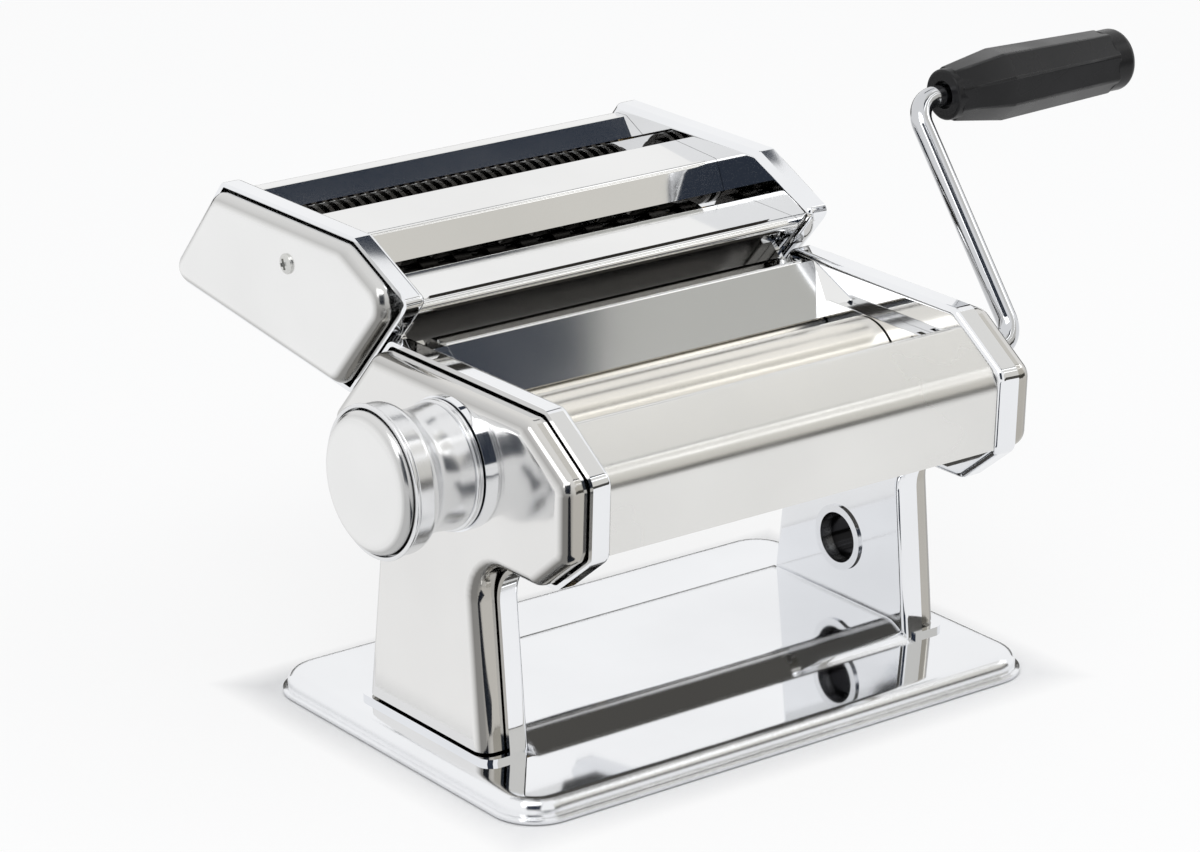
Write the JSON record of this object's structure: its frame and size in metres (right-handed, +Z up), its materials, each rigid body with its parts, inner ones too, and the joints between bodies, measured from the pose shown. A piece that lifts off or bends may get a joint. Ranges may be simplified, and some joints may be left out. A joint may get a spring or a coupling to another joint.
{
  "type": "pasta roller machine",
  "caption": "Hand-cranked pasta roller on a pressed base, with a thickness knob, geared smooth rollers and a slide-on cutter with fine and wide cutting rollers.",
  "frame": {"origin": "middle of the whole machine's box, on the surface it stands on", "axes": "+X along the rollers to the crank end, +Y from the feeding side to the cutter behind, +Z up"},
  "size_m": [0.321, 0.2242, 0.1856],
  "materials": {
    "base_plate": "polished",
    "rubber_feet": "matte",
    "base_screws": "satin",
    "left_side_plate": "polished",
    "right_side_plate": "polished",
    "left_cover": "polished",
    "right_cover": "polished",
    "cover_screws": "satin",
    "front_panel": "satin",
    "rear_panel": "satin",
    "feed_plate": "satin",
    "left_dough_guide": "satin",
    "right_dough_guide": "satin",
    "tie_rods": "satin",
    "tie_rod_nuts": "satin",
    "clamp_bush": "satin",
    "attachment_rails": "satin",
    "rear_roller_bushes": "plain",
    "rear_scraper": "satin",
    "crank_bushes": "plain",
    "index_plate": "polished",
    "crank_shaft": "satin",
    "crank_pinion": "satin",
    "crank_rod": "polished",
    "crank_grip": "satin black",
    "grip_cap": "satin black",
    "knob_shaft": "satin",
    "adjusting_cam": "satin",
    "knob_spring": "satin",
    "knob": "polished",
    "knob_face": "polished",
    "index_pin": "satin",
    "left_bearing_block": "satin",
    "right_bearing_block": "satin",
    "carriage_bar": "satin",
    "front_scraper": "satin",
    "front_roller": "polished",
    "front_roller_gear": "satin",
    "front_drive_gear": "satin",
    "rear_roller": "polished",
    "rear_roller_gear": "satin",
    "cutter_left_plate": "polished",
    "cutter_right_plate": "polished",
    "cutter_left_cover": "polished",
    "cutter_right_cover": "polished",
    "cutter_cover_screws": "satin",
    "cutter_back_panel": "satin",
    "cutter_middle_panel": "satin",
    "cutter_front_panel": "satin",
    "cutter_bushes": "plain",
    "cutter_tongues": "satin",
    "fine_cutter_front": "satin",
    "fine_gear_front": "satin",
    "fine_cutter_rear": "satin",
    "fine_gear_rear": "satin",
    "wide_cutter_front": "satin",
    "wide_gear_front": "satin",
    "wide_cutter_rear": "satin",
    "wide_gear_rear": "satin"
  },
  "bodies": {
    "frame": {"base_plate": "base_plate", "rubber_feet": "rubber_feet", "base_screws": "base_screws", "left_side_plate": "left_side_plate", "right_side_plate": "right_side_plate", "left_cover": "left_cover", "right_cover": "right_cover", "cover_screws": "cover_screws", "front_panel": "front_panel", "rear_panel": "rear_panel", "feed_plate": "feed_plate", "left_dough_guide": "left_dough_guide", "right_dough_guide": "right_dough_guide", "tie_rods": "tie_rods", "tie_rod_nuts": "tie_rod_nuts", "clamp_bush": "clamp_bush", "attachment_rails": "attachment_rails", "rear_roller_bushes": "rear_roller_bushes", "rear_scraper": "rear_scraper", "crank_bushes": "crank_bushes", "index_plate": "index_plate"},
    "crank": {"crank_shaft": "crank_shaft", "crank_pinion": "crank_pinion", "crank_rod": "crank_rod"},
    "grip": {"crank_grip": "crank_grip", "grip_cap": "grip_cap"},
    "knob_shaft": {"knob_shaft": "knob_shaft", "adjusting_cam": "adjusting_cam", "knob_spring": "knob_spring"},
    "knob": {"knob": "knob", "knob_face": "knob_face", "index_pin": "index_pin"},
    "carriage": {"left_bearing_block": "left_bearing_block", "right_bearing_block": "right_bearing_block", "carriage_bar": "carriage_bar", "front_scraper": "front_scraper"},
    "front_roller": {"front_roller": "front_roller", "front_roller_gear": "front_roller_gear", "front_drive_gear": "front_drive_gear"},
    "rear_roller": {"rear_roller": "rear_roller", "rear_roller_gear": "rear_roller_gear"},
    "cutter": {"cutter_left_plate": "cutter_left_plate", "cutter_right_plate": "cutter_right_plate", "cutter_left_cover": "cutter_left_cover", "cutter_right_cover": "cutter_right_cover", "cutter_cover_screws": "cutter_cover_screws", "cutter_back_panel": "cutter_back_panel", "cutter_middle_panel": "cutter_middle_panel", "cutter_front_panel": "cutter_front_panel", "cutter_bushes": "cutter_bushes", "cutter_tongues": "cutter_tongues"},
    "fine_front": {"fine_cutter_front": "fine_cutter_front", "fine_gear_front": "fine_gear_front"},
    "fine_rear": {"fine_cutter_rear": "fine_cutter_rear", "fine_gear_rear": "fine_gear_rear"},
    "wide_front": {"wide_cutter_front": "wide_cutter_front", "wide_gear_front": "wide_gear_front"},
    "wide_rear": {"wide_cutter_rear": "wide_cutter_rear", "wide_gear_rear": "wide_gear_rear"}
  },
  "joints": [
    {"name": "crank_turn", "type": "hinge", "parent": "frame", "child": "crank", "pos_m": [0.04325, -0.08373, 0.10565], "axis": [1, 0, 0], "continuous": true},
    {"name": "grip_spin", "type": "hinge", "parent": "crank", "child": "grip", "pos_m": [0.11325, -0.03078, 0.17342], "axis": [1, 0, 0], "continuous": true},
    {"name": "knob_turn", "type": "hinge", "parent": "frame", "child": "knob_shaft", "pos_m": [-0.12675, -0.05304, 0.0998], "axis": [1, 0, 0], "range_deg": [0, 270]},
    {"name": "knob_pull", "type": "slide", "parent": "knob_shaft", "child": "knob", "axis": [-1, 0, 0], "range_m": [0, 0.004], "stiffness_N_per_m": 400, "springref_m": -0.004},
    {"name": "carriage_slide", "type": "slide", "parent": "frame", "child": "carriage", "axis": [0, 1, 0], "range_m": [0, 0.002]},
    {"name": "front_roller_spin", "type": "hinge", "parent": "carriage", "child": "front_roller", "pos_m": [-0.03675, -0.05404, 0.0988], "axis": [1, 0, 0], "continuous": true},
    {"name": "rear_roller_spin", "type": "hinge", "parent": "frame", "child": "rear_roller", "pos_m": [-0.03675, -0.02154, 0.0988], "axis": [1, 0, 0], "continuous": true},
    {"name": "cutter_slide", "type": "slide", "parent": "frame", "child": "cutter", "axis": [0, -0.6626, 0.749], "range_m": [0, 0.045]},
    {"name": "fine_front_spin", "type": "hinge", "parent": "cutter", "child": "fine_front", "pos_m": [-0.03675, 0.05366, 0.133], "axis": [1, 0, 0], "continuous": true},
    {"name": "fine_rear_spin", "type": "hinge", "parent": "cutter", "child": "fine_rear", "pos_m": [-0.03675, 0.07226, 0.133], "axis": [1, 0, 0], "continuous": true},
    {"name": "wide_front_spin", "type": "hinge", "parent": "cutter", "child": "wide_front", "pos_m": [-0.03675, 0.01346, 0.123], "axis": [1, 0, 0], "continuous": true},
    {"name": "wide_rear_spin", "type": "hinge", "parent": "cutter", "child": "wide_rear", "pos_m": [-0.03675, 0.03206, 0.123], "axis": [1, 0, 0], "continuous": true}
  ],
  "couplings": [
    {"joint": "carriage_slide", "follows": "knob_turn", "m_per_rad": 0.00042441},
    {"joint": "front_roller_spin", "follows": "crank_turn", "ratio": -0.58824},
    {"joint": "rear_roller_spin", "follows": "crank_turn", "ratio": 0.58824},
    {"joint": "fine_rear_spin", "follows": "fine_front_spin", "ratio": -1},
    {"joint": "wide_rear_spin", "follows": "wide_front_spin", "ratio": -1}
  ]
}
